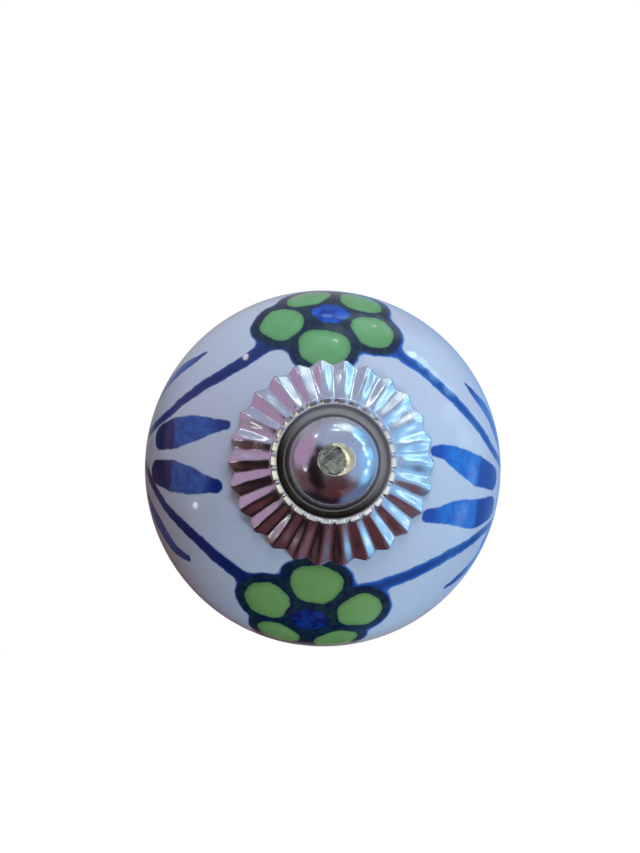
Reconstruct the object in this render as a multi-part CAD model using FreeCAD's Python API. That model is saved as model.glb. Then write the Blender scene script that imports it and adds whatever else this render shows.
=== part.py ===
import FreeCAD, Part
import math
import os

# A round cabinet knob: a painted ceramic body on a threaded rod, clamped between a pleated
# front rosette with its dome nut and a pressed back plate with its washer and nut.
#
# Sizes are in millimetres. The knob's axis runs along Y. The front of the knob faces -Y, the
# rod leaves towards +Y, and y = 0 is the cabinet front that the back plate rests on.
# Profiles are drawn as (radius, height), where height is measured forwards from y = 0.

# Ceramic body: each half is a belly arc and a flatter arc tangent to it
body_radius = 20.0
belly_radius = 11.2
front_closed_depth = 14.0
back_closed_depth = 15.3
seat_radius = 6.0
foot_radius = 10.0
foot_rounding = 1.0
bore_radius = 3.3
bore_chamfer = 0.5

# Threaded rod: its outside thread radius, and the pitch radius at which the nuts grip it
rod_radius = 2.0
grip_radius = 1.77
rod_behind = 35.0
rod_proud = 0.2
rod_end_chamfer = 0.35

# Back plate, pressed from sheet
plate_sheet = 0.8
plate_height = 4.2
plate_hole_radius = 2.2
plate_top_radius = 9.2
plate_wall_flare = 0.4
plate_flange_radius = 11.5
plate_shoulder = 1.4
plate_root = 0.5
plate_edge_chamfer = 0.25

# Washer and nut in the recess of the back plate
washer_radius = 4.5
washer_thickness = 0.5
nut_across_flats = 7.0
nut_thickness = 2.2
nut_flat_inset = 0.1
nut_corner_angle = 30.0

# Front rosette, pressed from thinner sheet: its heights are above the seat on the ceramic
rosette_sheet = 0.4
rosette_hole_radius = 2.15
well_radius = 5.8
well_corner = 0.5
rim_width = 0.65
rim_height = 1.95
rim_chamfer = 0.18
rim_foot_height = 1.3

# Pleated skirt of the rosette: (radius, height) of its bends down a ridge and down a valley
pleats = 26
first_ridge_angle = -83.7
ridge_root = (6.1, 1.68)
ridge_collar = (7.2, 1.2)
ridge_knee = (9.6, -0.02)
ridge_end = (10.95, -0.93)
valley_root = (6.1, 1.58)
valley_collar = (7.2, 0.92)
valley_knee = (8.4, 0.14)
valley_end = (10.2, -0.9)

# Dome nut
dome_base_radius = 5.0
dome_base_height = 0.45
dome_radius = 4.8


# Centre and radius of the flatter arc that closes one half at the given depth
def flat_arc(closed_depth):
    overlap = body_radius ** 2 - 2 * body_radius * belly_radius
    radius = (closed_depth ** 2 + overlap) / (2 * (closed_depth - belly_radius))
    return closed_depth - radius, radius


# Distance from the widest circle to the flat that cuts one half at the given radius
def cut_depth(closed_depth, cut_radius):
    centre, radius = flat_arc(closed_depth)
    return centre + math.sqrt(radius ** 2 - cut_radius ** 2)


# Heights that follow from the sizes above
foot_height = plate_height
equator_height = foot_height + cut_depth(back_closed_depth, foot_radius)
seat_height = equator_height + cut_depth(front_closed_depth, seat_radius)
dome_foot_height = seat_height + rosette_sheet
dome_centre_height = dome_foot_height + dome_base_height
dome_top_height = dome_centre_height + math.sqrt(dome_radius ** 2 - grip_radius ** 2)
recess_height = plate_height - plate_sheet
washer_height = recess_height - washer_thickness
nut_height = washer_height - nut_thickness

axis_start = FreeCAD.Vector(0, 0, 0)
axis_direction = FreeCAD.Vector(0, 1, 0)


# Profile drawing
def at(radius, height):
    return FreeCAD.Vector(radius, -height, 0)


def around(radius, height, angle):
    return FreeCAD.Vector(radius * math.cos(angle), -height, radius * math.sin(angle))


def line(start, end):
    return Part.LineSegment(at(*start), at(*end)).toShape()


def arc(start, middle, end):
    return Part.Arc(at(*start), at(*middle), at(*end)).toShape()


def outline(points):
    return [line(a, b) for a, b in zip(points, points[1:] + points[:1])]


def turned(edges):
    face = Part.Face(Part.Wire(edges))
    return face.revolve(axis_start, axis_direction, 360)


def cylinder(radius, low, high):
    return Part.makeCylinder(radius, high - low, at(0, high), axis_direction)


def circle_edge(solid, radius, height):
    for edge in solid.Edges:
        if not isinstance(edge.Curve, Part.Circle):
            continue
        same_radius = abs(edge.Curve.Radius - radius) < 0.001
        same_height = abs(edge.Curve.Center.y + height) < 0.001
        if same_radius and same_height:
            return edge
    raise ValueError("no circle of that radius at that height")


# One half of the ceramic's outline, from the widest circle (side 1 front, side -1 back)
def body_half(closed_depth, cut_radius, side):
    centre, radius = flat_arc(closed_depth)
    belly_centre = body_radius - belly_radius
    join = math.atan2(-centre, belly_centre)
    cut = math.acos(cut_radius / radius)

    def on_belly(angle):
        out = belly_centre + belly_radius * math.cos(angle)
        return out, equator_height + side * belly_radius * math.sin(angle)

    def on_flat_arc(angle):
        forward = centre + radius * math.sin(angle)
        return radius * math.cos(angle), equator_height + side * forward

    return [
        arc(on_belly(0), on_belly(join / 2), on_belly(join)),
        arc(on_flat_arc(join), on_flat_arc((join + cut) / 2), on_flat_arc(cut)),
    ]


# Ceramic body: turned in one piece, rounded at its foot and bored for the rod
def ceramic_body():
    edges = body_half(front_closed_depth, seat_radius, 1)
    edges += body_half(back_closed_depth, foot_radius, -1)
    edges.append(line((seat_radius, seat_height), (0, seat_height)))
    edges.append(line((0, seat_height), (0, foot_height)))
    edges.append(line((0, foot_height), (foot_radius, foot_height)))
    solid = turned(Part.__sortEdges__(edges))
    rounded = solid.makeFillet(foot_rounding, [circle_edge(solid, foot_radius, foot_height)])
    drilled = rounded.cut(cylinder(bore_radius, foot_height - 1, seat_height + 1))
    bore_ends = [
        circle_edge(drilled, bore_radius, foot_height),
        circle_edge(drilled, bore_radius, seat_height),
    ]
    return drilled.makeChamfer(bore_chamfer, bore_ends)


# Threaded rod: drawn at the thread's pitch radius where the two nuts grip it
def threaded_rod():
    front_end = dome_top_height + rod_proud
    back_end = -rod_behind
    points = [
        (0, front_end),
        (grip_radius - rod_end_chamfer, front_end),
        (grip_radius, front_end - rod_end_chamfer),
        (grip_radius, dome_foot_height),
        (rod_radius, dome_foot_height),
        (rod_radius, washer_height),
        (grip_radius, washer_height),
        (grip_radius, nut_height),
        (rod_radius, nut_height),
        (rod_radius, back_end + rod_end_chamfer),
        (rod_radius - rod_end_chamfer, back_end),
        (0, back_end),
    ]
    return turned(outline(points))


# Back plate: a flat web, a shoulder in two bends, a flared wall and a flange on the cabinet
def back_plate():
    sheet = plate_sheet
    top = plate_top_radius
    foot = plate_top_radius + plate_wall_flare
    web_end = top - plate_shoulder
    shoulder_height = plate_height - plate_shoulder
    bend = plate_shoulder * math.sqrt(0.5)
    points = [
        (plate_hole_radius, recess_height),
        (plate_hole_radius, plate_height),
        (web_end, plate_height),
        (web_end + bend, shoulder_height + bend),
        (top, shoulder_height),
        (foot, sheet + plate_root),
        (foot + plate_root, sheet),
        (plate_flange_radius - plate_edge_chamfer, sheet),
        (plate_flange_radius, sheet - plate_edge_chamfer),
        (plate_flange_radius, 0),
        (foot - sheet, 0),
        (top - sheet, shoulder_height),
        (web_end, recess_height),
    ]
    return turned(outline(points))


# Washer: a plain ring under the web of the back plate
def retaining_washer():
    points = [
        (plate_hole_radius, washer_height),
        (washer_radius, washer_height),
        (washer_radius, recess_height),
        (plate_hole_radius, recess_height),
    ]
    return turned(outline(points))


# Nut: a hexagon whose corners are turned off on the side away from the washer
def retaining_nut():
    corner_radius = nut_across_flats / 2 / math.cos(math.radians(30))
    corners = [around(corner_radius, nut_height, math.radians(60 * side)) for side in range(7)]
    blank = Part.Face(Part.makePolygon(corners)).extrude(at(0, nut_thickness))
    flat_radius = nut_across_flats / 2 - nut_flat_inset
    clear_radius = nut_across_flats
    corner_drop = (clear_radius - flat_radius) * math.tan(math.radians(nut_corner_angle))
    turning = [
        (0, nut_height),
        (flat_radius, nut_height),
        (clear_radius, nut_height + corner_drop),
        (clear_radius, washer_height),
        (0, washer_height),
    ]
    rounded = blank.common(turned(outline(turning)))
    return rounded.cut(cylinder(grip_radius, nut_height - 1, washer_height + 1))


# Dome nut: a short round base with a half ball on it, bored for the rod
def dome_nut():
    top_angle = math.asin(grip_radius / dome_radius)
    middle_angle = (top_angle + math.pi / 2) / 2
    middle_radius = dome_radius * math.sin(middle_angle)
    middle_height = dome_centre_height + dome_radius * math.cos(middle_angle)
    edges = [
        line((grip_radius, dome_foot_height), (dome_base_radius, dome_foot_height)),
        line((dome_base_radius, dome_foot_height), (dome_base_radius, dome_centre_height)),
        line((dome_base_radius, dome_centre_height), (dome_radius, dome_centre_height)),
        arc(
            (dome_radius, dome_centre_height),
            (middle_radius, middle_height),
            (grip_radius, dome_top_height),
        ),
        line((grip_radius, dome_top_height), (grip_radius, dome_foot_height)),
    ]
    return turned(edges)


# Rosette core: the floor and wall of the well, folded over at the top into a rolled rim
def rosette_core():
    sheet = seat_height + rosette_sheet
    crest = seat_height + rim_height
    outside = well_radius + rim_width
    wall_outside = well_radius + rosette_sheet
    points = [
        (rosette_hole_radius, seat_height),
        (rosette_hole_radius, sheet),
        (well_radius - well_corner, sheet),
        (well_radius, sheet + well_corner),
        (well_radius, crest - rim_chamfer),
        (well_radius + rim_chamfer, crest),
        (outside - rim_chamfer, crest),
        (outside, crest - rim_chamfer),
        (outside, seat_height + rim_foot_height),
        (wall_outside, seat_height + rim_foot_height),
        (wall_outside, sheet),
        (well_radius, seat_height),
    ]
    return turned(outline(points))


# Section of the sheet down one fold of the skirt: its top, then its underside back again
def skirt_section(bends):
    under = [(radius, height - rosette_sheet) for radius, height in reversed(bends)]
    return bends + under


def flat_face(a, b, c):
    return Part.Face(Part.makePolygon([a, b, c, a]))


# Half a pleat: flat faces from the sheet's section on a ridge to its section in a valley
def half_pleat(ridge, valley):
    faces = []
    for corner in range(len(ridge)):
        faces.append(flat_face(ridge[corner - 1], ridge[corner], valley[corner]))
        faces.append(flat_face(ridge[corner - 1], valley[corner], valley[corner - 1]))
    return faces


# Pleated skirt: ridges all round the axis, each with half a pleat down to either side
def pleated_skirt():
    ridge_section = skirt_section([ridge_root, ridge_collar, ridge_knee, ridge_end])
    valley_section = skirt_section([valley_root, valley_collar, valley_knee, valley_end])
    faces = []
    for pleat in range(pleats):
        ridge_angle = math.radians(first_ridge_angle + 360 * pleat / pleats)
        ridge = [around(r, seat_height + h, ridge_angle) for r, h in ridge_section]
        for side in (-1, 1):
            valley_angle = ridge_angle + side * math.pi / pleats
            valley = [around(r, seat_height + h, valley_angle) for r, h in valley_section]
            faces += half_pleat(ridge, valley)
    shell = Part.Shell(faces)
    shell.sewShape()
    solid = Part.Solid(shell)
    if solid.Volume < 0:
        solid.reverse()
    return solid


# Front rosette: one pressing, so the skirt is fused into the wall of the rim
def front_rosette():
    return rosette_core().fuse(pleated_skirt())


parts = {
    "ceramic_body": ceramic_body(),
    "front_rosette": front_rosette(),
    "dome_nut": dome_nut(),
    "threaded_rod": threaded_rod(),
    "back_plate": back_plate(),
    "retaining_washer": retaining_washer(),
    "retaining_nut": retaining_nut(),
}

os.makedirs("parts", exist_ok=True)
for name, shape in parts.items():
    piece = shape.Solids[0]
    piece.exportStep(f"parts/{name}.step")
    print(name, len(shape.Solids), piece.isValid(), round(piece.Volume, 1), "mm3")
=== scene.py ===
import math

import bmesh
import bpy
import numpy as np
from mathutils import Matrix, Vector, noise


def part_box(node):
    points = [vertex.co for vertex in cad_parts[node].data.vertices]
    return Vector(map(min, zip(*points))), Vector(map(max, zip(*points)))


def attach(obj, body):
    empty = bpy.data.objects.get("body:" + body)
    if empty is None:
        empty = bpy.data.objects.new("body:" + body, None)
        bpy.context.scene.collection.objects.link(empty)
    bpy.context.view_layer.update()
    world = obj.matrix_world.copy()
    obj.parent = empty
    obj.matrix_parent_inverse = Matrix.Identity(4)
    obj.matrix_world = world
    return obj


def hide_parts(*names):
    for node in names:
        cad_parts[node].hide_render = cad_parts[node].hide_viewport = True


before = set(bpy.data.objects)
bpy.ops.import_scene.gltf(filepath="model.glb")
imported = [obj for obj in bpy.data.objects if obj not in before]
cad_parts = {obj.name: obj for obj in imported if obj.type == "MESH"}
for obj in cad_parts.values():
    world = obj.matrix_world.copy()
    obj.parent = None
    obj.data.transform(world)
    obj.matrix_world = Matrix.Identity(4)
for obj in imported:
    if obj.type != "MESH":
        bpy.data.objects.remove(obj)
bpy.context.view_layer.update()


# Ceramic body: a flattened ball of white stoneware, turned and fired in one piece, painted by
# hand with green flowers, blue stems and blue brush leaves, and dipped in a clear gloss glaze.
# Lengths are in millimetres and become metres when a mesh is finished. Materials are in metres.
body_low, body_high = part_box("ceramic_body")
foot_height = -body_high.y * 1000
seat_height = -body_low.y * 1000
body_radius = body_high.z * 1000
belly_radius = 11.2
front_closed_depth = 14.0
back_closed_depth = 15.3
seat_radius = 6.0
back_cut_radius = 10.55
foot_bend_radius = 10.28
foot_bend_rise = 0.22
foot_flat_radius = 9.65
body_bore_radius = 3.3
body_bore_chamfer = 0.5
body_steps_round = 480
body_steps_along = 54
merge_distance = 0.0005


def flat_arc(closed_depth):
    """Centre on the axis, from the widest circle, and radius of the flatter arc of one half."""
    overlap = body_radius ** 2 - 2 * body_radius * belly_radius
    radius = (closed_depth ** 2 + overlap) / (2 * (closed_depth - belly_radius))
    return closed_depth - radius, radius


front_arc_centre, front_arc_radius = flat_arc(front_closed_depth)
seat_depth = front_arc_centre + math.sqrt(front_arc_radius ** 2 - seat_radius ** 2)
equator_height = seat_height - seat_depth
belly_centre = body_radius - belly_radius


def run_of_points(clay, points, closed=True):
    """Vertices and edges through (radius, height) points, the outline of a turned piece."""
    verts = [clay.verts.new((radius, -height, 0)) for radius, height in points]
    ends = verts[1:] + verts[:1] if closed else verts[1:]
    for first, second in zip(verts, ends):
        clay.edges.new((first, second))
    return verts


def sweep_arc(clay, start, centre, angle, steps):
    """Draws an arc from a vertex by turning it about a centre, and returns its far end."""
    pivot = (centre[0], -centre[1], 0)
    made = bmesh.ops.spin(
        clay, geom=[start], cent=pivot, axis=(0, 0, 1), angle=angle, steps=steps
    )
    return [item for item in made["geom_last"] if isinstance(item, bmesh.types.BMVert)][0]


def turn_on_lathe(clay, steps, sectors=8):
    """Turns the outline about the knob's axis, one sector first, then its copies all round."""
    sector = 2 * math.pi / sectors
    axle = {"cent": (0, 0, 0), "axis": (0, 1, 0)}
    outline = clay.verts[:] + clay.edges[:]
    bmesh.ops.spin(clay, geom=outline, angle=sector, steps=steps // sectors, **axle)
    skin = clay.verts[:] + clay.edges[:] + clay.faces[:]
    rest = 2 * math.pi - sector
    bmesh.ops.spin(clay, geom=skin, angle=rest, steps=sectors - 1, use_duplicate=True, **axle)
    bmesh.ops.remove_doubles(clay, verts=clay.verts, dist=merge_distance)
    bmesh.ops.recalc_face_normals(clay, faces=clay.faces)


def finish_piece(clay, name, material, slot_name, *nodes):
    """Turns millimetres into metres and puts the piece in place of its CAD nodes."""
    bmesh.ops.scale(clay, vec=(0.001, 0.001, 0.001), verts=clay.verts)
    mesh = bpy.data.meshes.new(name)
    clay.to_mesh(mesh)
    clay.free()
    mesh.polygons.foreach_set("use_smooth", [True] * len(mesh.polygons))
    mesh.materials.append(material)
    piece = bpy.data.objects.new(name, mesh)
    bpy.context.scene.collection.objects.link(piece)
    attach(piece, "root")
    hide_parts(*nodes)
    return piece


def draw_half_outline(clay, closed_depth, cut_radius, side):
    """Draws the belly arc and the flatter arc of one half, and returns its end at the flat."""
    centre, radius = flat_arc(closed_depth)
    join = math.atan2(-centre, belly_centre)
    cut = math.acos(cut_radius / radius)
    start = clay.verts.new((body_radius, -equator_height, 0))
    turned_to = sweep_arc(
        clay, start, (belly_centre, equator_height), -side * join, body_steps_along
    )
    flat_centre = (0, equator_height + side * centre)
    return sweep_arc(clay, turned_to, flat_centre, -side * (cut - join), body_steps_along // 2)


clay = bmesh.new()
draw_half_outline(clay, front_closed_depth, seat_radius, 1)
back_end = draw_half_outline(clay, back_closed_depth, back_cut_radius, -1)
inside = run_of_points(
    clay,
    [
        (seat_radius, seat_height),
        (body_bore_radius + body_bore_chamfer, seat_height),
        (body_bore_radius, seat_height - body_bore_chamfer),
        (body_bore_radius, foot_height + body_bore_chamfer),
        (body_bore_radius + body_bore_chamfer, foot_height),
        (foot_flat_radius, foot_height),
        (foot_bend_radius, foot_height + foot_bend_rise),
    ],
    closed=False,
)
clay.edges.new((inside[-1], back_end))
bmesh.ops.remove_doubles(clay, verts=clay.verts, dist=merge_distance)
turn_on_lathe(clay, body_steps_round)


def depth_at(radius):
    """Distance in front of the widest circle at which the painted face has this radius."""
    join_radius = front_arc_radius * math.cos(math.atan2(-front_arc_centre, belly_centre))
    if radius > join_radius:
        return math.sqrt(max(belly_radius ** 2 - (radius - belly_centre) ** 2, 0))
    return front_arc_centre + math.sqrt(front_arc_radius ** 2 - radius ** 2)


def on_face(angle, latitude):
    """A point of the painted face, by its angle round the knob and its latitude in degrees."""
    turn = math.radians(angle)
    radius = body_radius * math.cos(math.radians(latitude))
    depth = depth_at(radius)
    if latitude < 0:
        depth = -depth
    return np.array(
        [radius * math.cos(turn), -equator_height - depth, radius * math.sin(turn)]
    )


def smooth_between(before, start, end, after, share):
    """The point a share of the way from start to end, on a smooth curve through all four."""
    bend = (2 * before - 5 * start + 4 * end - after) * share ** 2
    bend += (3 * start - before - 3 * end + after) * share ** 3
    return 0.5 * (2 * start + (end - before) * share + bend)


def brush_path(points, samples=28):
    """A smooth line over the face through the places that the brush passed."""
    marks = np.array([on_face(angle, latitude) for angle, latitude in points])
    marks = np.vstack([2 * marks[0] - marks[1], marks, 2 * marks[-1] - marks[-2]])
    share = np.linspace(0, 1, samples, endpoint=False)[:, None]
    fours = zip(marks, marks[1:], marks[2:], marks[3:])
    return np.vstack([smooth_between(*four, share) for four in fours] + [marks[-2][None]])


# Each stem, from its flower outward: the places it passes, as an angle round the knob and a
# latitude in degrees, its widths at both ends, and its tone from dark, 0, to light, 1. The tones
# are lighter and bluer on the right, partly uneven ink and partly a painted sheen
stems = [
    ([(118, 44.8), (127.4, 45.6), (134.9, 44.3), (142.3, 41.7), (147.9, 38.4), (152.9, 35),
      (157.8, 30.6), (162.3, 26), (168.7, 12), (174, -6)],
     (1.6, 0.9), 0.1),
    ([(-122, 39.6), (-128.2, 41), (-137.4, 40.2), (-142.8, 38.9), (-148.5, 37.5),
      (-154.2, 34.8), (-159.9, 31), (-165.9, 25.9), (-172, 20.5), (-179.5, 11), (-186, -6)],
     (1.6, 0.9), 0.0),
    ([(65, 46.4), (58.2, 46.4), (53.7, 46.8), (48.5, 45.9), (41.4, 45.1), (33.7, 43.5),
      (26.1, 40.6), (19.4, 37.1), (14, 33.2), (9.3, 29), (4.6, 23), (0.5, 12), (-4, -6)],
     (1.35, 1.0), 0.8),
    ([(-72, 46), (-63, 45.7), (-55.1, 44), (-47.2, 41.7), (-41.2, 39.1), (-35.9, 36.1),
      (-30.9, 31.7), (-26.1, 26.7), (-21.6, 20.6), (-17.7, 12), (-11, -6)],
     (1.5, 0.9), 0.7),
]

# Each leaf, fat end first: the places it passes, its widths along the stroke, and its tone, which
# as with the stems is lighter on the right, partly uneven ink and partly a painted sheen
leaves = [
    ([(170.4, 25.3), (168.5, 33.4), (165.3, 42.8), (162.7, 49.5), (160.3, 54.4)],
     (2.9, 3.5, 2.8, 1.6, 1.1), 0.1),
    ([(-177.7, 23.2), (-175.7, 33.3), (-172.9, 42.2), (-170.5, 48.3), (-168.6, 52.4)],
     (2.7, 3.4, 2.9, 1.9, 1.5), 0.0),
    ([(-4.1, 25.3), (-2.3, 36.5), (1.4, 45.4), (5.2, 51.6), (6.7, 56.4)],
     (2.7, 3.4, 2.7, 1.8, 1.3), 0.9),
    ([(-14.4, 23.4), (-18.4, 33.6), (-20.8, 43.1), (-25.1, 50.5), (-28.5, 54.7)],
     (2.7, 3.3, 2.8, 1.8, 1.5), 0.8),
    ([(166, -3), (160.5, 6.3), (153.5, 10.6), (147.2, 17.4), (142, 23.5), (137.4, 26.8)],
     (1.2, 1.8, 2.0, 1.6, 1.1, 0.4), 0.3),
    ([(-176, -3), (-168.3, 9.2), (-160, 16.5), (-151.7, 20.5), (-146.3, 25.8)],
     (1.2, 1.9, 1.9, 1.5, 0.9), 0.2),
    ([(0, -2), (9.4, 14.1), (18, 20.6), (24.9, 26.8), (30.7, 29.7)],
     (1.2, 2.0, 1.9, 1.2, 0.4), 0.6),
    ([(-12, -2), (-22.4, 12.8), (-30.2, 12.7), (-38.4, 18.1), (-45.4, 22.7)],
     (1.2, 1.9, 1.9, 1.4, 0.6), 0.6),
]

# Each flower: its middle, the radius of the blob there and the turn of its corners, then each
# petal's middle and half sizes, outward from the flower's middle and across
flowers = [
    ((89.3, 35.5), 1.95, 0.4, [
        ((93.3, 52.2), 2.3, 2.9),
        ((71.9, 41.8), 2.4, 2.15),
        ((78.6, 23.8), 2.15, 2.55),
        ((96.2, 22.6), 1.85, 2.65),
        ((108.6, 37.3), 2.45, 2.4),
    ]),
    ((-97.3, 33.3), 2.0, 1.9, [
        ((-96.8, 50.3), 2.3, 2.85),
        ((-78.1, 37.2), 2.4, 2.3),
        ((-87, 18.6), 2.1, 2.5),
        ((-106.2, 18.8), 2.2, 2.5),
        ((-114.5, 37.4), 2.4, 2.4),
    ]),
]
outline_width = 1.1
ink_disc_radius = 4.2
blob_corner_share = 0.07
blob_widening = 0.49
petal_lump_share = 0.035
petal_ripple_share = 0.025
far_outside = -9.0

places = np.array([vert.co[:] for vert in clay.verts])
vertex_count = len(places)


def paint_stroke(path, widths, margin=4):
    """Depth inside a brush stroke and share of the way along it, for each vertex near it."""
    share = np.linspace(0, 1, len(path))
    half = np.interp(share, np.linspace(0, 1, len(widths)), widths) / 2
    depth = np.full(vertex_count, far_outside)
    along = np.zeros(vertex_count)
    reach = np.linalg.norm(places - path.mean(0), axis=1)
    near = np.nonzero(reach < np.linalg.norm(path - path.mean(0), axis=1).max() + margin)[0]
    squares = (places[near] ** 2).sum(1)[:, None] + (path ** 2).sum(1)[None]
    gaps = np.sqrt(np.maximum(squares - 2 * places[near] @ path.T, 0))
    inside_by = half[None] - gaps
    depth[near] = inside_by.max(1)
    along[near] = share[inside_by.argmax(1)]
    return depth, along


def paint_strokes(strokes):
    """Depth inside the nearest of the strokes, with that stroke's tone and the share along it."""
    deepest = np.full(vertex_count, far_outside)
    nearest_tone = np.zeros(vertex_count)
    nearest_along = np.zeros(vertex_count)
    for passes, widths, tone in strokes:
        depth, along = paint_stroke(brush_path(passes), widths)
        on_top = depth > deepest
        nearest_tone = np.where(on_top, tone, nearest_tone)
        nearest_along = np.where(on_top, along, nearest_along)
        deepest = np.maximum(deepest, depth)
    return deepest, nearest_tone, nearest_along


def run_together(first, second, width=0.9):
    """The union of two painted shapes, with the wet paint filling the corner between them."""
    near = np.maximum(width - np.abs(first - second), 0) / width
    return np.maximum(first, second) + near ** 2 * width / 4


stem_depth, stem_ink_and_sheen_tone = paint_strokes(stems)[:2]
leaf_depth, leaf_ink_and_sheen_tone, leaf_along = paint_strokes(leaves)
petal_depth = np.full(vertex_count, far_outside)
blob_depth = np.full(vertex_count, far_outside)
flower_depth = np.full(vertex_count, far_outside)
for flower_place, blob_radius, corner_turn, petals in flowers:
    middle = on_face(*flower_place)
    from_middle = np.linalg.norm(places - middle, axis=1)
    around = np.arctan2(places[:, 2] - middle[2], places[:, 0] - middle[0])
    cornered = 1 + blob_corner_share * np.cos(6 * around + corner_turn)
    sideways = places[:, 0] - middle[0]
    widened = np.sqrt((1 + blob_widening) * from_middle ** 2 - blob_widening * sideways ** 2)
    blob_depth = np.maximum(blob_depth, blob_radius * cornered - widened)
    flower_depth = np.maximum(flower_depth, ink_disc_radius - from_middle)
    for petal_place, half_outward, half_across in petals:
        heart = on_face(*petal_place)
        outward = (heart - middle) / np.linalg.norm(heart - middle)
        offset = places - heart
        lengthwise = offset @ outward
        sideways = np.sqrt(np.maximum((offset ** 2).sum(1) - lengthwise ** 2, 0))
        bearing = np.arctan2(sideways, lengthwise)
        uneven = 1 + petal_lump_share * np.cos(3 * bearing + petal_place[0])
        uneven += petal_ripple_share * np.cos(5 * bearing + petal_place[1])
        radius = np.hypot(lengthwise / half_outward, sideways / half_across) / uneven
        depth = (1 - radius) * (half_outward + half_across) / 2
        petal_depth = np.maximum(petal_depth, depth)
        flower_depth = run_together(flower_depth, depth + outline_width)
ink_depth = run_together(flower_depth, stem_depth)

# The thick green enamel stands a little proud of the glaze, except on the widest circle
enamel_rise = 0.07
enamel_shoulder = 1.1
enamel_limit = body_radius - 0.6
swell = np.clip(petal_depth / enamel_shoulder, 0, 1)
swell = enamel_rise * swell * swell * (3 - 2 * swell)
for vert, rise in zip(clay.verts, swell):
    from_centre = vert.co - Vector((0, -equator_height, 0))
    if rise > 0 and math.hypot(from_centre.x, from_centre.z) < enamel_limit:
        vert.co += from_centre.normalized() * float(rise)


def new_material(name):
    material = bpy.data.materials.new(name)
    material.use_nodes = True
    return material, material.node_tree, material.node_tree.nodes["Principled BSDF"]


def put(tree, kind, inputs=None, **settings):
    """Adds a shader node, with its settings and its inputs, which are values or sockets."""
    node = tree.nodes.new(kind)
    for key, value in settings.items():
        setattr(node, key, value)
    for key, value in (inputs or {}).items():
        if isinstance(value, bpy.types.NodeSocket):
            tree.links.new(value, node.inputs[key])
        else:
            node.inputs[key].default_value = value
    return node


def sums(tree, operation, first, second):
    """Adds, takes away, multiplies or compares two values."""
    return put(tree, "ShaderNodeMath", {0: first, 1: second}, operation=operation).outputs[0]


def fade(tree, value, low, high, to_low=0.0, to_high=1.0):
    """Goes smoothly from to_low to to_high as the value rises from low to high."""
    inputs = {"Value": value, "From Min": low, "From Max": high, "To Min": to_low, "To Max": to_high}
    node = put(tree, "ShaderNodeMapRange", inputs, interpolation_type="SMOOTHSTEP")
    return node.outputs["Result"]


def mix_colours(tree, share, under, over):
    """Lays one colour over another by a share from 0 to 1."""
    inputs = {0: share, 6: under, 7: over}
    return put(tree, "ShaderNodeMix", inputs, data_type="RGBA").outputs[2]


def mottle(tree, place, scale, detail=3.0, roughness=0.5):
    """Cloudy unevenness, about 0.5 on average, finer as the scale goes up."""
    inputs = {"Vector": place, "Scale": scale, "Detail": detail, "Roughness": roughness}
    return put(tree, "ShaderNodeTexNoise", inputs).outputs["Fac"]


def dent(tree, height, strength, distance):
    """The surface's own direction, tilted by small dents of the given height."""
    inputs = {"Height": height, "Strength": strength, "Distance": distance}
    return put(tree, "ShaderNodeBump", inputs).outputs["Normal"]


glaze, tree, shader = new_material("painted_clear_glaze")
place = put(tree, "ShaderNodeTexCoord").outputs["Object"]


def painted(name):
    """A value that was kept at each vertex."""
    return put(tree, "ShaderNodeAttribute", attribute_name=name).outputs["Fac"]


clay_clouds = mottle(tree, place, 140, 4)
clay_colour = mix_colours(tree, clay_clouds, (0.51, 0.55, 0.66, 1), (0.61, 0.64, 0.74, 1))
specks = fade(tree, mottle(tree, place, 2200, 2), 0.72, 0.80, 0.0, 0.35)
clay_colour = mix_colours(tree, specks, clay_colour, (0.20, 0.18, 0.17, 1))
edge_wobble = sums(tree, "SUBTRACT", mottle(tree, place, 1300, 2), 0.5)
edge_wobble = sums(tree, "MULTIPLY", edge_wobble, 0.30)
streaks = mottle(tree, place, 1500, 2, 0.5)

# Leaves: each starts with a fat dark dab, runs out lighter, and darkens again at its tip
leaf_edge = sums(tree, "ADD", painted("leaf_depth"), edge_wobble)
leaf_share = sums(tree, "MULTIPLY", edge_wobble, 0.12)
leaf_share = sums(tree, "ADD", painted("leaf_along"), leaf_share)
# The leaf's tone: partly uneven ink, partly a painted sheen, lighter and bluer on the right side
leaf_ink_and_sheen = painted("leaf_ink_and_sheen_tone")
fat_ink = mix_colours(tree, leaf_ink_and_sheen, (0.002, 0.008, 0.080, 1), (0.006, 0.058, 0.34, 1))
middle_ink = mix_colours(tree, leaf_ink_and_sheen, (0.030, 0.110, 0.38, 1), (0.018, 0.190, 0.64, 1))
tip_ink = mix_colours(tree, leaf_ink_and_sheen, (0.006, 0.030, 0.20, 1), (0.014, 0.075, 0.40, 1))
middle_ink = mix_colours(tree, fade(tree, streaks, 0.35, 0.65, 0.0, 0.5), middle_ink, tip_ink)
leaf_ink = mix_colours(tree, fade(tree, leaf_share, 0.22, 0.27), fat_ink, middle_ink)
leaf_ink = mix_colours(tree, fade(tree, leaf_share, 0.62, 0.90), leaf_ink, tip_ink)
paint = mix_colours(tree, fade(tree, leaf_edge, -0.12, 0.12), clay_colour, leaf_ink)

# Stems and outlines: blue stems with a darker core, which run into near-black flower outlines
ink_edge = sums(tree, "ADD", painted("ink_depth"), edge_wobble)
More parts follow.
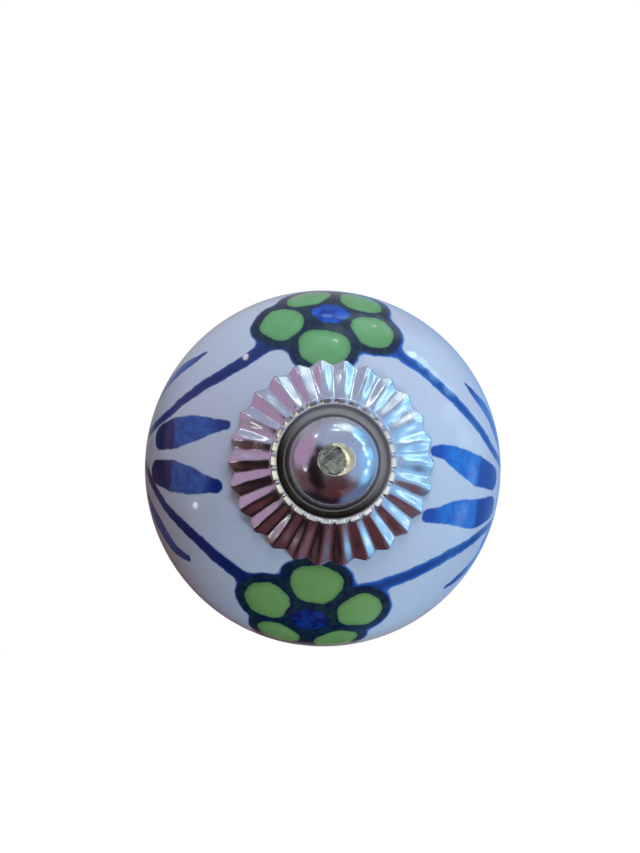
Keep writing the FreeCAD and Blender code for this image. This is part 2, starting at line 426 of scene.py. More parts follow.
# The stem's tone: partly uneven ink, partly a painted sheen, lighter and bluer on the right side
stem_ink_and_sheen = painted("stem_ink_and_sheen_tone")
stem_ink = mix_colours(tree, stem_ink_and_sheen, (0.008, 0.028, 0.17, 1), (0.018, 0.145, 0.57, 1))
stem_core = fade(tree, ink_edge, 0.1, 0.5, 0.0, 0.55)
stem_ink = mix_colours(tree, stem_core, stem_ink, (0.004, 0.012, 0.075, 1))
line_share = fade(tree, streaks, 0.4, 0.65)
line_ink = mix_colours(tree, line_share, (0.004, 0.014, 0.045, 1), (0.008, 0.035, 0.045, 1))
in_flower = fade(tree, painted("flower_depth"), 0.0, 0.4)
ink = mix_colours(tree, in_flower, stem_ink, line_ink)
paint = mix_colours(tree, fade(tree, ink_edge, -0.14, 0.12), paint, ink)

# Petals: cloudy green enamel. The upper flower's green is bluer and the lower one's yellower, a
# painted tint for cool light above and warm light below, and each petal's edge has painted shade
petal_edge = sums(tree, "ADD", painted("petal_depth"), edge_wobble)
height_seen = put(tree, "ShaderNodeSeparateXYZ", {0: place}).outputs["Z"]
upper_flower = fade(tree, height_seen, -0.005, 0.005)
green_clouds = mottle(tree, place, 320, 3)
# Two copies of the green: a painted tint for warm light on the lower flower, cool on the upper
low_green = mix_colours(tree, green_clouds, (0.14, 0.30, 0.070, 1), (0.24, 0.43, 0.155, 1))
high_green = mix_colours(tree, green_clouds, (0.11, 0.30, 0.095, 1), (0.19, 0.46, 0.195, 1))
petal_ink = mix_colours(tree, upper_flower, low_green, high_green)
# Painted shade along each petal's edge, for the dome of the enamel
painted_rim_shade = fade(tree, petal_edge, 0.0, 0.6, 0.5, 0.0)
petal_ink = mix_colours(tree, painted_rim_shade, petal_ink, (0.07, 0.20, 0.06, 1))
paint = mix_colours(tree, fade(tree, petal_edge, -0.04, 0.10), paint, petal_ink)

# Middles: a blob of blue, thin on the upper flower and thick on the lower one
blob_edge = sums(tree, "MULTIPLY", edge_wobble, 1.4)
blob_edge = sums(tree, "ADD", painted("blob_depth"), blob_edge)
blue_share = fade(tree, mottle(tree, place, 900, 3, 0.6), 0.35, 0.68)
thin_blue = mix_colours(tree, blue_share, (0.004, 0.035, 0.30, 1), (0.012, 0.11, 0.58, 1))
thick_blue = mix_colours(tree, blue_share, (0.001, 0.008, 0.08, 1), (0.003, 0.040, 0.24, 1))
blob_ink = mix_colours(tree, upper_flower, thick_blue, thin_blue)
paint = mix_colours(tree, fade(tree, blob_edge, -0.10, 0.16), paint, blob_ink)

tree.links.new(paint, shader.inputs["Base Color"])
under_glaze_roughness = fade(tree, mottle(tree, place, 90, 2), 0.3, 0.7, 0.10, 0.17)
tree.links.new(under_glaze_roughness, shader.inputs["Roughness"])
shader.inputs["Specular IOR Level"].default_value = 0.1
shader.inputs["Coat Weight"].default_value = 1.0
shader.inputs["Coat Roughness"].default_value = 0.035
ripple = dent(tree, mottle(tree, place, 260, 2), 0.35, 0.00012)
tree.links.new(ripple, shader.inputs["Normal"])
tree.links.new(ripple, shader.inputs["Coat Normal"])

body = finish_piece(clay, "glazed_body", glaze, "painted_glaze", "ceramic_body")
for name, values in {
    "ink_depth": ink_depth,
    "stem_ink_and_sheen_tone": stem_ink_and_sheen_tone,
    "leaf_depth": leaf_depth,
    "leaf_along": leaf_along,
    "leaf_ink_and_sheen_tone": leaf_ink_and_sheen_tone,
    "flower_depth": flower_depth,
    "petal_depth": petal_depth,
    "blob_depth": blob_depth,
}.items():
    layer = body.data.attributes.new(name, "FLOAT", "POINT")
    layer.data.foreach_set("value", values.astype(np.float32))


# Front rosette: one disc of thin steel sheet, pressed into a round well with a rolled rim and
# a cone of 26 pleats, whose folds pinch the rim into a row of beads, then chrome plated.
# The cone starts as a flat ring at the blank's height, and each of its points is then folded.
rosette_sheet = 0.4
rosette_hole_radius = 2.15
well_radius = 5.8
well_corner_rounding = 0.5
rim_width = 0.74
rim_height = 1.95
rim_fall = 0.08
rim_rounding = 0.18
pleats = 26
first_ridge_angle = math.radians(-83.7)
steps_per_pleat = 24
skirt_foot = 6.2
skirt_end = 10.2
skirt_runs = 26
blank_height = 1.2
ridge_line = [(6.2, 1.64), (7.2, 1.20), (8.4, 0.59), (9.6, -0.02), (10.75, -0.80)]
valley_line = [(6.2, 1.52), (7.2, 0.92), (8.4, 0.14), (9.3, -0.38), (10.2, -0.90)]
fold_sharpness = 0.78
pinch_drop = 0.08
pinch_inward = 0.10
pinch_power = 5
rim_crest_radius = well_radius + 0.35
rim_foot_height = blank_height + 0.1
tip_band = 0.06
tip_fold_angle = 0.9
tip_rounding = 0.05
slack = 0.01


def round_corners(shape, corners, size, segments):
    """Rounds the named corners of an outline before it is turned."""
    bmesh.ops.bevel(
        shape,
        geom=corners,
        offset=size,
        segments=segments,
        profile=0.5,
        affect="VERTICES",
        material=-1,
    )


sheet = bmesh.new()
outside = well_radius + rim_width
blank_underside = blank_height - rosette_sheet
shares = [step / skirt_runs for step in range(skirt_runs + 1)]
outline = [
    (rosette_hole_radius, 0),
    (rosette_hole_radius, rosette_sheet),
    (well_radius, rosette_sheet),
    (well_radius, rim_height),
    (outside, rim_height - rim_fall),
]
outline += [(outside + (skirt_end - outside) * share, blank_height) for share in shares]
outline += [(skirt_end - (skirt_end - skirt_foot) * share, blank_underside) for share in shares]
outline += [(skirt_foot, rosette_sheet), (well_radius, 0)]
corners = run_of_points(sheet, [(radius, seat_height + height) for radius, height in outline])
well_corner, rim_inner, rim_outer = corners[2:5]
round_corners(sheet, [well_corner], well_corner_rounding, 5)
round_corners(sheet, [rim_inner, rim_outer], rim_rounding, 5)
turn_on_lathe(sheet, pleats * steps_per_pleat)


def along_line(line, share):
    """The point a share of the way along a line of (radius, height) points, rounded over."""
    place = share * (len(line) - 1)
    index = min(int(place), len(line) - 2)
    points = [Vector(point) for point in (line[0], *line, line[-1])]
    return smooth_between(*points[index:index + 4], place - index)


for vert in sheet.verts:
    radius = math.hypot(vert.co.x, vert.co.z)
    height = -vert.co.y - seat_height
    turn = math.atan2(vert.co.z, vert.co.x)
    phase = (turn - first_ridge_angle) * pleats
    in_blank = blank_underside - slack < height < blank_height + slack
    if radius > skirt_foot - slack and in_blank:
        share = min((radius - skirt_foot) / (skirt_end - skirt_foot), 1)
        fold = math.asin(fold_sharpness * math.cos(phase)) / math.asin(fold_sharpness)
        spot = along_line(valley_line, share).lerp(along_line(ridge_line, share), 0.5 + fold / 2)
        new_radius = spot.x
        new_height = spot.y + height - blank_height
    elif height > rim_foot_height:
        pinch = ((1 - math.cos(phase)) / 2) ** pinch_power
        new_radius = radius - (pinch_inward * pinch if radius > rim_crest_radius else 0)
        new_height = height - pinch_drop * pinch
    else:
        continue
    vert.co.x = new_radius * math.cos(turn)
    vert.co.z = new_radius * math.sin(turn)
    vert.co.y = -seat_height - new_height

tip_edges = [
    edge
    for edge in sheet.edges
    if all(math.hypot(v.co.x, v.co.z) > skirt_end - tip_band for v in edge.verts)
    and edge.calc_face_angle(0) > tip_fold_angle
]
bmesh.ops.bevel(
    sheet,
    geom=tip_edges,
    offset=tip_rounding,
    segments=2,
    profile=0.5,
    affect="EDGES",
    material=-1,
)


def chrome(name, dullness, grime_and_shade_colour=(0.5, 0.5, 0.5, 1), grime_and_shade_amount=0.0):
    """Bright chrome plate, with faint smears and, in the well, a dark film that is partly grime and
    partly painted shade, darkest towards the lower left.
    """
    material, tree, shader = new_material(name)
    place = put(tree, "ShaderNodeTexCoord").outputs["Object"]
    smears = mottle(tree, place, 380, 4, 0.6)
    plate = mix_colours(tree, smears, (0.70, 0.69, 0.71, 1), (0.88, 0.88, 0.90, 1))
    pits = fade(tree, mottle(tree, place, 3200, 2), 0.66, 0.74, 0.0, 0.5)
    plate = mix_colours(tree, pits, plate, (0.30, 0.28, 0.26, 1))

    # The film lies in the well, between the dome nut and the top of the wall, darkest towards the
    # lower left: partly grime, partly painted shade in the recess and on its side away from the
    # light
    nut_edge = 0.00500
    well_wall = well_radius / 1000
    across_axis = put(
        tree, "ShaderNodeVectorMath", {0: place, 1: (1, 0, 1)}, operation="MULTIPLY"
    ).outputs["Vector"]
    radius = put(
        tree, "ShaderNodeVectorMath", {0: across_axis}, operation="LENGTH"
    ).outputs["Value"]
    shaded_low_side = put(
        tree, "ShaderNodeVectorMath", {0: place, 1: (-0.6, 0, -0.8)}, operation="DOT_PRODUCT"
    ).outputs["Value"]
    in_well = fade(tree, radius, nut_edge, nut_edge + 0.00015)
    below_rim = fade(tree, radius, well_wall - 0.00008, well_wall - 0.00002, 1.0, 0.0)
    well_grime_and_shade = sums(tree, "MULTIPLY", in_well, below_rim)
    well_grime_and_shade = sums(tree, "MULTIPLY", well_grime_and_shade, fade(tree, smears, 0.2, 0.7, 0.92, 1.0))
    well_grime_and_shade = sums(tree, "MULTIPLY", well_grime_and_shade, fade(tree, shaded_low_side, -0.003, 0.003, 0.15, 1.0))
    well_grime_and_shade = sums(tree, "MULTIPLY", well_grime_and_shade, grime_and_shade_amount)
    plate = mix_colours(tree, well_grime_and_shade, plate, grime_and_shade_colour)
    tree.links.new(plate, shader.inputs["Base Color"])
    shader.inputs["Metallic"].default_value = 1.0

    dull = fade(tree, smears, 0.3, 0.75, dullness, dullness + 0.06)
    wall = fade(tree, radius, well_wall + 0.00001, well_wall + 0.00004, 1.0, 0.0)
    wall = sums(tree, "MULTIPLY", in_well, wall)
    wall = sums(tree, "MULTIPLY", wall, grime_and_shade_amount * 0.4)
    tree.links.new(sums(tree, "ADD", dull, wall), shader.inputs["Roughness"])
    dents = dent(tree, mottle(tree, place, 700, 2), 0.3, 0.00006)
    tree.links.new(dents, shader.inputs["Normal"])
    return material


# The rosette's well gets the dark film, partly grime and partly painted shade
rosette_chrome = chrome("pressed_chrome_sheet", 0.18, (0.058, 0.042, 0.032, 1), 1.0)
finish_piece(sheet, "pleated_rosette", rosette_chrome, "chrome_plate", "front_rosette")


# Dome nut: turned from steel rod with a half-round head, drilled through and tapped, then
# polished and chrome plated. It screws onto the rod in the rosette's well.
dome_foot = -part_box("dome_nut")[1].y * 1000
dome_base_radius = 5.0
dome_base_height = 0.45
dome_base_rounding = 0.05
dome_base_taper = 0.02
dome_radius = 4.8
dome_steps_along = 40
dome_steps_round = 128
dome_fullness = 0.031
mouth_rounding = 0.03
thread_grip_radius = 1.77
squeeze = 0.13
squeezed_from_height = 3
squeezed_from_radius = 2.9
squeezed_over = 1.1

nut = bmesh.new()
dome_centre = dome_foot + dome_base_height
pole_angle = math.acos(thread_grip_radius / dome_radius)
dome_start = nut.verts.new((dome_radius, -dome_centre, 0))
dome_end = sweep_arc(nut, dome_start, (0, dome_centre), -pole_angle, dome_steps_along)
rest = run_of_points(
    nut,
    [
        (thread_grip_radius, dome_foot),
        (dome_base_radius, dome_foot),
        (dome_base_radius, dome_centre - dome_base_rounding),
        (dome_base_radius - dome_base_taper, dome_centre),
    ],
    closed=False,
)
nut.edges.new((dome_end, rest[0]))
nut.edges.new((rest[-1], dome_start))
round_corners(nut, [dome_end], mouth_rounding, 2)
turn_on_lathe(nut, dome_steps_round)

# Polishing left the head full to its foot. The cutters that cropped the rod squeezed it, and
# the nut's mouth with it, a little oval.
for vert in nut.verts:
    radius = math.hypot(vert.co.x, vert.co.z)
    above_centre = -vert.co.y - dome_centre
    if above_centre > -slack and radius < dome_radius + slack:
        fuller = 1 + dome_fullness * (radius / dome_radius) ** 2
        vert.co.x *= fuller
        vert.co.z *= fuller
    if above_centre > squeezed_from_height and radius < squeezed_from_radius:
        share = min((squeezed_from_radius - radius) / squeezed_over, 1)
        vert.co.z *= 1 - squeeze * share
dome_chrome = chrome("polished_chrome_head", 0.15)
finish_piece(nut, "polished_dome_nut", dome_chrome, "chrome_plate", "dome_nut")


# Threaded rod: 4 mm steel rod with a rolled thread of 0.7 mm pitch, zinc plated. Its front end
# was cropped and ground off roughly after the dome nut was tightened.
rod_low, rod_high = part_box("threaded_rod")
rod_front = -rod_low.y * 1000
rod_back = -rod_high.y * 1000
thread_radius = 2.0
thread_root_radius = 1.6
thread_pitch = 0.7
thread_steps = 28
thread_back = rod_back + 0.5
thread_merge_distance = 0.001
crest_half_width = 0.03
crest_shoulder = 0.05
unthreaded_length = 2.1
core_inset = 0.25
neck_length = 0.50
rod_end_chamfer = 0.19
lip_rounding = 0.04
face_rise = 0.07
rod_end_runs = 24
rod_steps_round = 96
rod_merge_distance = 0.0008

steel = bmesh.new()
turns = int((rod_front - rod_back - unthreaded_length) / thread_pitch)
crest = thread_back + thread_pitch / 2
shoulder_half_width = crest_half_width + crest_shoulder
run_of_points(
    steel,
    [
        (thread_root_radius, thread_back),
        (thread_radius - crest_shoulder, crest - shoulder_half_width),
        (thread_radius, crest - crest_half_width),
        (thread_radius, crest + crest_half_width),
        (thread_radius - crest_shoulder, crest + shoulder_half_width),
        (thread_root_radius, thread_back + thread_pitch),
    ],
    closed=False,
)
bmesh.ops.spin(
    steel,
    geom=steel.verts[:] + steel.edges[:],
    cent=(0, 0, 0),
    axis=(0, 1, 0),
    dvec=(0, -thread_pitch / thread_steps, 0),
    angle=2 * math.pi,
    steps=thread_steps,
)
one_turn = steel.verts[:] + steel.edges[:] + steel.faces[:]
for turn in range(1, turns):
    copy = bmesh.ops.duplicate(steel, geom=one_turn)["geom"]
    moved = [item for item in copy if isinstance(item, bmesh.types.BMVert)]
    bmesh.ops.translate(steel, vec=(0, -thread_pitch * turn, 0), verts=moved)
bmesh.ops.remove_doubles(steel, verts=steel.verts, dist=thread_merge_distance)


def turn_rod_end(end_height, core_height, lip_spread):
    """Turns one end of the rod: its core inside the thread, a chamfer and a raised face."""
    toward = 1 if core_height > end_height else -1
    lip_radius = thread_grip_radius + lip_spread
    lip_drop = rod_end_chamfer - lip_rounding
    end = run_of_points(
        steel,
        [
            (thread_root_radius - core_inset, core_height),
            (thread_grip_radius - 0.02, end_height + toward * neck_length),
            (thread_grip_radius - 0.01, end_height + toward * rod_end_chamfer),
            (lip_radius, end_height + toward * lip_drop),
        ],
        closed=False,
    )
    for step in range(1, rod_end_runs + 1):
        radius = lip_radius * (1 - step / rod_end_runs)
        drop = lip_drop - face_rise * min(3 * step / rod_end_runs, 1)
        vert = steel.verts.new((radius, -end_height - toward * drop, 0))
        steel.edges.new((end[-1], vert))
        end.append(vert)
    bmesh.ops.spin(
        steel,
        geom=end + [edge for edge in steel.edges if all(vert in end for vert in edge.verts)],
        cent=(0, 0, 0),
        axis=(0, 1, 0),
        angle=2 * math.pi,
        steps=rod_steps_round,
    )


turn_rod_end(rod_back, core_height=thread_back + thread_pitch + 0.1, lip_spread=-0.03)
turn_rod_end(rod_front, core_height=rod_front - 1.6, lip_spread=0.14)
bmesh.ops.remove_doubles(steel, verts=steel.verts, dist=rod_merge_distance)
open_ends = [edge for edge in steel.edges if edge.is_boundary]
bmesh.ops.holes_fill(steel, edges=open_ends, sides=0)
bmesh.ops.recalc_face_normals(steel, faces=steel.faces)

# The cropped end: torn and spread over the nut's mouth, with a nick across its upper left and
# a burr turned up on its right
torn_length = 0.3
torn_roughness = 0.07
torn_scale = 2.4
nick_across = (0.725, -0.689)
nick_offset = 0.66
nick_width = 0.26
nick_depth = 0.26
nick_low_end = -0.1
nick_share_below = 0.15
nick_share_off_edge = 0.7
face_edge_radius = 1.9
burr_centre = (-0.98, -0.21)
burr_radius = 1.91
burr_width = 0.12
burr_rise = 0.14
edge_wear_share = 0.05
squeezed_length = 1.0
squeezed_fully_after = 0.5
burr = []
for vert in steel.verts:
    radius = math.hypot(vert.co.x, vert.co.z)
    from_front = rod_front + vert.co.y
    lifted = 0.0
    if from_front < torn_length:
        rough = noise.fractal(vert.co * torn_scale, 0.9, 2.2, 4)
        from_nick = vert.co.x * nick_across[0] + vert.co.z * nick_across[1] + nick_offset
        nick = math.exp(-((from_nick / nick_width) ** 2))
        nick *= 1 if vert.co.z > nick_low_end else nick_share_below
        from_burr = math.hypot(vert.co.x - burr_centre[0], vert.co.z - burr_centre[1])
        lifted = max(from_burr - burr_radius, 0)
        lump = 1 - min(lifted / burr_width, 1)
        nick *= lump - nick_share_off_edge * lump * min(radius / face_edge_radius, 1) ** 4
        vert.co.y += torn_roughness * rough * lump + nick_depth * nick - burr_rise * lifted
        near_edge = min(radius / thread_grip_radius, 1) ** 4
        edge_wear = 1 - edge_wear_share * lump * (0.6 + rough) * near_edge
        vert.co.x *= edge_wear
        vert.co.z *= edge_wear
        from_front = rod_front + vert.co.y
    if from_front < squeezed_length:
        share = min((squeezed_length - from_front) / squeezed_fully_after, 1)
        vert.co.z *= 1 - squeeze * share
    burr.append(lifted)


def zinc(name, roughness_low, roughness_high, dark, light):
    """Bright zinc plate: greyish, faintly brushed, darker in random clouds."""
    material, tree, shader = new_material(name)
    place = put(tree, "ShaderNodeTexCoord").outputs["Object"]
    grain = mottle(tree, place, 2400, 4, 0.65)
    cloud = mottle(tree, place, 500, 3)
    plate = mix_colours(tree, grain, dark, light)
    plate = mix_colours(tree, fade(tree, cloud, 0.35, 0.7, 0.0, 0.5), plate, dark)
    tree.links.new(plate, shader.inputs["Base Color"])
    shader.inputs["Metallic"].default_value = 1.0
    dull = fade(tree, grain, 0.3, 0.7, roughness_low, roughness_high)
    tree.links.new(dull, shader.inputs["Roughness"])
    tree.links.new(dent(tree, grain, 0.4, 0.00004), shader.inputs["Normal"])
    return material


def go_between(tree, share, low, high):
    """Goes evenly from one value to the other with the share."""
    inputs = {"Value": share, "To Min": low, "To Max": high}
    return put(tree, "ShaderNodeMapRange", inputs).outputs["Result"]


# The cropped face is bare torn steel, and its burr is rubbed bright, with a cream tint that is a
# painted highlight
torn_ahead_of = -0.0353
plated_behind = -0.0352
rod_zinc = zinc("rolled_zinc_thread", 0.24, 0.42, (0.32, 0.33, 0.31, 1), (0.66, 0.67, 0.63, 1))
tree = rod_zinc.node_tree
shader = tree.nodes["Principled BSDF"]
plated = shader.inputs["Base Color"].links[0].from_socket
plated_roughness = shader.inputs["Roughness"].links[0].from_socket
bright = fade(tree, painted("burr"), 0.0, 0.08)
place = put(tree, "ShaderNodeTexCoord").outputs["Object"]
along_axis = put(tree, "ShaderNodeSeparateXYZ", {0: place}).outputs["Y"]
cropped = fade(tree, along_axis, torn_ahead_of, plated_behind, 1.0, 0.0)
torn_clouds = mottle(tree, place, 2300, 3)
torn = mix_colours(tree, torn_clouds, (0.10, 0.12, 0.11, 1), (0.58, 0.60, 0.54, 1))
surface = mix_colours(tree, cropped, plated, torn)
# The burr's cream colour: rubbed bare steel, tinted as a painted highlight
surface = mix_colours(tree, bright, surface, (0.93, 0.92, 0.78, 1))
tree.links.new(surface, shader.inputs["Base Color"])
end_roughness = go_between(tree, cropped, plated_roughness, 0.34)
end_roughness = go_between(tree, bright, end_roughness, 0.16)
tree.links.new(end_roughness, shader.inputs["Roughness"])
rod = finish_piece(steel, "threaded_steel_rod", rod_zinc, "zinc_plate", "threaded_rod")
layer = rod.data.attributes.new("burr", "FLOAT", "POINT")
layer.data.foreach_set("value", np.array(burr, dtype=np.float32))


# Back plate: pressed from 0.8 mm steel sheet into a shallow round cup with a flange, which
# stands on the cabinet front, then chrome plated. The foot of the ceramic sits on its web.
plate_sheet = 0.8
plate_hole_radius = 2.2
plate_top_radius = 9.2
plate_foot_radius = 9.6
plate_flange_radius = 11.5
plate_shoulder_rounding = 1.3
plate_bend_rounding = 0.5
plate_edge_rounding = 0.16
plate_steps_round = 160

plate = bmesh.new()
corners = run_of_points(
    plate,
    [
        (plate_hole_radius, foot_height - plate_sheet),
        (plate_hole_radius, foot_height),
        (plate_top_radius, foot_height),
        (plate_foot_radius, plate_sheet),
        (plate_flange_radius, plate_sheet),
        (plate_flange_radius, 0),
        (plate_foot_radius - plate_sheet, 0),
        (plate_top_radius - plate_sheet, foot_height - plate_sheet),
    ],
)
round_corners(plate, [corners[2]], plate_shoulder_rounding, 8)
round_corners(plate, [corners[3], corners[7]], plate_bend_rounding, 5)
round_corners(plate, corners[4:7], plate_edge_rounding, 4)
turn_on_lathe(plate, plate_steps_round)
plate_chrome = chrome("plated_back_sheet", 0.14)
finish_piece(plate, "pressed_back_plate", plate_chrome, "chrome_plate", "back_plate")


# Washer and nut: a stamped ring and a thin hexagon nut, both zinc plated. They sit in the
# hollow of the back plate and clamp the plate, the ceramic and the rosette together.
fastener_zinc = zinc("barrel_zinc_plate", 0.26, 0.38, (0.42, 0.43, 0.42, 1), (0.70, 0.70, 0.68, 1))
for name in ("retaining_washer", "retaining_nut"):
    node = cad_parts[name]
    node.data.materials.clear()
    node.data.materials.append(fastener_zinc)


# Surroundings: a plain pale floor under the knob, soft lamps, and a round glowing tent,
# painted with reflections and glints that only the gloss of the glaze and the chrome can see.
floor_height = -0.30
floor_size = 3.0
tent_radius = 0.11
knob_middle = Vector((0, -equator_height / 1000, 0))


def stand_on_stage(shape, name, material):
    """Makes a piece of the surroundings, which isn't part of the knob."""
    mesh = bpy.data.meshes.new(name)
    shape.to_mesh(mesh)
    shape.free()
    mesh.materials.append(material)
    piece = bpy.data.objects.new(name, mesh)
    bpy.context.scene.collection.objects.link(piece)
    return piece


pale, tree, shader = new_material("pale_floor")
place = put(tree, "ShaderNodeTexCoord").outputs["Object"]
paper = mix_colours(tree, mottle(tree, place, 30, 3), (0.60, 0.60, 0.60, 1), (0.64, 0.64, 0.64, 1))
tree.links.new(paper, shader.inputs["Base Color"])
shader.inputs["Roughness"].default_value = 0.9
seen = put(tree, "ShaderNodeLightPath").outputs["Is Camera Ray"]
shader.inputs["Emission Color"].default_value = (1, 1, 1, 1)
tree.links.new(sums(tree, "MULTIPLY", seen, 0.9), shader.inputs["Emission Strength"])
floor_shape = bmesh.new()
bmesh.ops.create_grid(floor_shape, x_segments=1, y_segments=1, size=floor_size)
bmesh.ops.translate(floor_shape, vec=(0, 0, floor_height), verts=floor_shape.verts)
stand_on_stage(floor_shape, "floor", pale)

reflection_glow = bpy.data.materials.new("painted_reflection_glow")
reflection_glow.use_nodes = True
tree = reflection_glow.node_tree
tree.nodes.clear()
place = put(tree, "ShaderNodeTexCoord").outputs["Object"]
centred = put(
    tree, "ShaderNodeVectorMath", {0: place, 1: -knob_middle}, operation="ADD"
).outputs["Vector"]
heading = put(tree, "ShaderNodeVectorMath", {0: centred}, operation="NORMALIZE").outputs["Vector"]
wobble = sums(tree, "MULTIPLY", sums(tree, "SUBTRACT", mottle(tree, heading, 3.0, 3), 0.5), 0.30)


def tint(under, colour, angle, front, spread, softness, ragged):
    """Lays a round patch of glowing colour, a painted reflection, over the tent."""
    turn = math.radians(angle)
    level = math.sqrt(1 - front ** 2)
    aim = (level * math.cos(turn), -front, level * math.sin(turn))
    node = put(tree, "ShaderNodeVectorMath", {0: heading, 1: aim}, operation="DOT_PRODUCT")
    value = sums(tree, "ADD", node.outputs["Value"], sums(tree, "MULTIPLY", wobble, ragged))
    outer = math.cos(math.radians(min(spread + softness, 180)))
    inner = math.cos(math.radians(max(spread - softness, 0)))
    return mix_colours(tree, fade(tree, value, outer, inner), under, colour + (1,))


# Each painted reflection, in the order they are laid: its glowing colour, its angle round the
# knob, how far forward it is, from 0 beside the knob to 1 in front, its radius and the softness
# of its edge, in degrees, and how ragged that edge is
plain_reflection = (0.26, 0.25, 0.26, 1)
near_black = (0.012, 0.010, 0.012)
sky_blue = (0.27, 0.58, 0.98)
bright_blue = (0.36, 0.84, 1.24)
faint_glint = (1.2, 1.7, 2.1)
patches = [
    # Broad painted reflections all round
    ((0.36, 0.35, 0.40), 90, 0.1, 80, 30, 1),
    ((0.09, 0.09, 0.11), 180, -0.35, 32, 12, 1),
    ((0.22, 0.40, 0.76), 14, -0.60, 38, 15, 1),
    ((0.12, 0.05, 0.06), -138, -0.55, 36, 15, 1),
    ((0.016, 0.009, 0.018), -95, 0.05, 52, 12, 1),
    ((0.17, 0.14, 0.165), -160, 0.0, 26, 10, 1),
    ((0.12, 0.19, 0.34), -48, -0.2, 28, 10, 1),
    ((0.090, 0.033, 0.040), -88, 0.50, 29, 9, 1),
    ((0.120, 0.060, 0.070), -143, 0.20, 20, 8, 1),
    ((0.175, 0.090, 0.115), -62, 0.33, 13, 7, 1),
    ((0.43, 0.29, 0.45), 161, 0.28, 28, 8, 1),
    ((0.36, 0.41, 0.58), 80, 0.52, 42, 10, 1),
    ((0.33, 0.44, 0.68), 8, 0.76, 34, 9, 1),
    # Dark painted reflections at the left
    (near_black, 175, 0.77, 14, 5, 0.2),
    (near_black, 142, 0.83, 13, 5, 0.2),
    (near_black, -155, 0.70, 17, 6, 0.2),
    ((0.014, 0.008, 0.010), -130, 0.57, 18, 6, 0.3),
    # Blue painted reflections at the right
    ((0.13, 0.18, 0.34), -60, -0.1, 12, 6, 0.3),
    (sky_blue, 42, 0.08, 16, 6, 0.4),
    (sky_blue, 5, 0.22, 22, 6, 0.4),
    (sky_blue, -22, 0.18, 16, 6, 0.4),
    (bright_blue, 53, 0.05, 7, 4, 0.2),
    (bright_blue, 15, 0.05, 8, 4, 0.2),
    (bright_blue, -25, 0.10, 8, 4, 0.2),
    # Cream and grey patches close round the front, which the rosette's rim mirrors
    ((1.15, 1.12, 0.86), 185, 0.961, 14, 4, 0.2),
    ((1.10, 1.08, 0.86), 152, 0.957, 10, 4, 0.2),
    ((0.90, 0.92, 0.86), 2, 0.955, 9, 4, 0.2),
    ((1.10, 1.12, 1.02), -33, 0.955, 10, 4, 0.2),
    ((0.55, 0.62, 0.70), -105, 0.955, 10, 4, 0.2),
    ((0.10, 0.10, 0.13), 100, 0.955, 11, 4, 0.2),
    ((0.30, 0.31, 0.33), 33, 0.996, 5, 2, 0),
    # Bright bands at the top, for the gloss on the green enamel
    ((1.15, 1.45, 1.55), 86, 0.405, 6, 4, 0.1),
    ((0.95, 1.20, 1.35), 69, 0.13, 10, 6, 0.4),
    ((1.8, 2.6, 3.4), 87, 0.115, 2.0, 1.2, 0),
    ((1.6, 2.2, 2.8), 82, 0.145, 1.6, 1.0, 0),
    # Small glints
    ((12, 12, 12), 123.7, 0.363, 1.2, 0.5, 0),
    ((8, 8, 8), -164.4, 0.387, 1.2, 0.5, 0),
    ((8, 8, 8), 82.7, 0.391, 1.4, 0.8, 0),
    ((9, 5, 4.5), 69.4, 0.164, 0.8, 0.3, 0),
    ((5, 10, 13), 51.4, 0.268, 1.7, 0.8, 0),
    ((2.0, 4.2, 5.4), 46.7, 0.265, 1.8, 1.6, 0),
    ((1.8, 3.4, 4.4), 40.0, 0.260, 2.0, 1.8, 0),
    ((1.8, 3.4, 4.4), 31.8, 0.222, 2.0, 1.8, 0),
    (faint_glint, 23.0, 0.310, 3.5, 3.0, 0),
    (faint_glint, 13.0, 0.260, 3.5, 3.0, 0),
    (faint_glint, -1.2, 0.181, 3.5, 3.0, 0),
    (faint_glint, -17.3, 0.235, 3.5, 3.0, 0),
]
tone = plain_reflection
for patch in patches:
    tone = tint(tone, *patch)
glow = put(tree, "ShaderNodeEmission", {"Color": tone, "Strength": 1.0})
tree.links.new(glow.outputs[0], put(tree, "ShaderNodeOutputMaterial").inputs["Surface"])
tent_shape = bmesh.new()
bmesh.ops.create_icosphere(tent_shape, subdivisions=5, radius=tent_radius)
bmesh.ops.translate(tent_shape, vec=knob_middle, verts=tent_shape.verts)
tent = stand_on_stage(tent_shape, "painted_reflection_tent", reflection_glow)
tent.visible_camera = False
tent.visible_diffuse = False
tent.visible_shadow = False


def soft_lamp(name, right, up, front, distance, size, power, colour):
    """A round lamp that faces the knob's middle and that no gloss mirrors."""
    aim = Vector((right, -front, up)).normalized()
    lamp = bpy.data.lights.new(name, "AREA")
    lamp.shape = "DISK"
    lamp.size = size
    lamp.energy = power
    lamp.color = colour
    holder = bpy.data.objects.new(name, lamp)
    holder.location = knob_middle + aim * distance
    holder.rotation_mode = "QUATERNION"
    holder.rotation_quaternion = aim.to_track_quat("Z", "Y")
    holder.visible_glossy = False
    bpy.context.scene.collection.objects.link(holder)


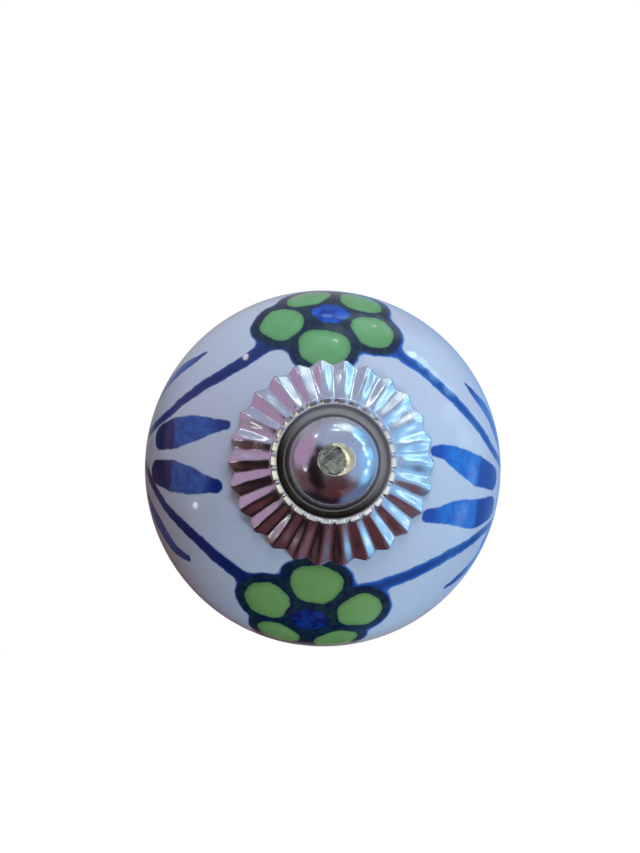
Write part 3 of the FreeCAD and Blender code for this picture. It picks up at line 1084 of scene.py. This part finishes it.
soft_lamp(
    "top_light", right=0.08, up=0.85, front=0.50,
    distance=0.6, size=0.5, power=3.85, colour=(0.65, 0.83, 1.0),
)
soft_lamp(
    "side_light", right=0.60, up=-0.62, front=0.51,
    distance=0.42, size=0.12, power=1.12, colour=(0.50, 0.78, 1.0),
)

# The world is dim and warm for soft light, and white where it is seen straight or mirrored
world = bpy.data.worlds.new("studio")
bpy.context.scene.world = world
world.use_nodes = True
tree = world.node_tree
tree.nodes.clear()
rays = put(tree, "ShaderNodeLightPath")
shown = sums(tree, "MAXIMUM", rays.outputs["Is Camera Ray"], rays.outputs["Is Glossy Ray"])
shown = sums(tree, "MAXIMUM", shown, rays.outputs["Is Transmission Ray"])
sky = mix_colours(tree, shown, (0.232, 0.168, 0.145, 1), (1, 1, 1, 1))
back = put(tree, "ShaderNodeBackground", {"Color": sky, "Strength": 1.0})
tree.links.new(back.outputs[0], put(tree, "ShaderNodeOutputWorld").inputs["Surface"])

bpy.context.scene.view_settings.view_transform = "Standard"


# Camera: 150 mm in front of the widest circle, a little left of the axis and below it
camera_distance = 0.150
lean_right = math.radians(4.0)
lean_up = math.radians(2.6)
axis_seen = Vector((math.tan(lean_right), math.tan(lean_up), 1)).normalized()
right_seen = (Vector((1, 0, 0)) - axis_seen * axis_seen.x).normalized()
up_seen = axis_seen.cross(right_seen)
view_right = Vector((right_seen.x, -axis_seen.x, up_seen.x))
view_up = Vector((right_seen.y, -axis_seen.y, up_seen.y))
view_back = Vector((right_seen.z, -axis_seen.z, up_seen.z))
camera_data = bpy.data.cameras.new("camera")
camera_data.sensor_width = 36
camera_data.lens = 56.1
camera_data.shift_x = -0.0041
camera_data.shift_y = 0.0487
camera_data.clip_start = 0.01
camera_data.clip_end = 20
camera = bpy.data.objects.new("camera", camera_data)
camera.location = knob_middle + camera_distance * view_back
camera.rotation_mode = "QUATERNION"
camera.rotation_quaternion = Matrix((view_right, view_up, view_back)).transposed().to_quaternion()
bpy.context.scene.collection.objects.link(camera)
bpy.context.scene.camera = camera
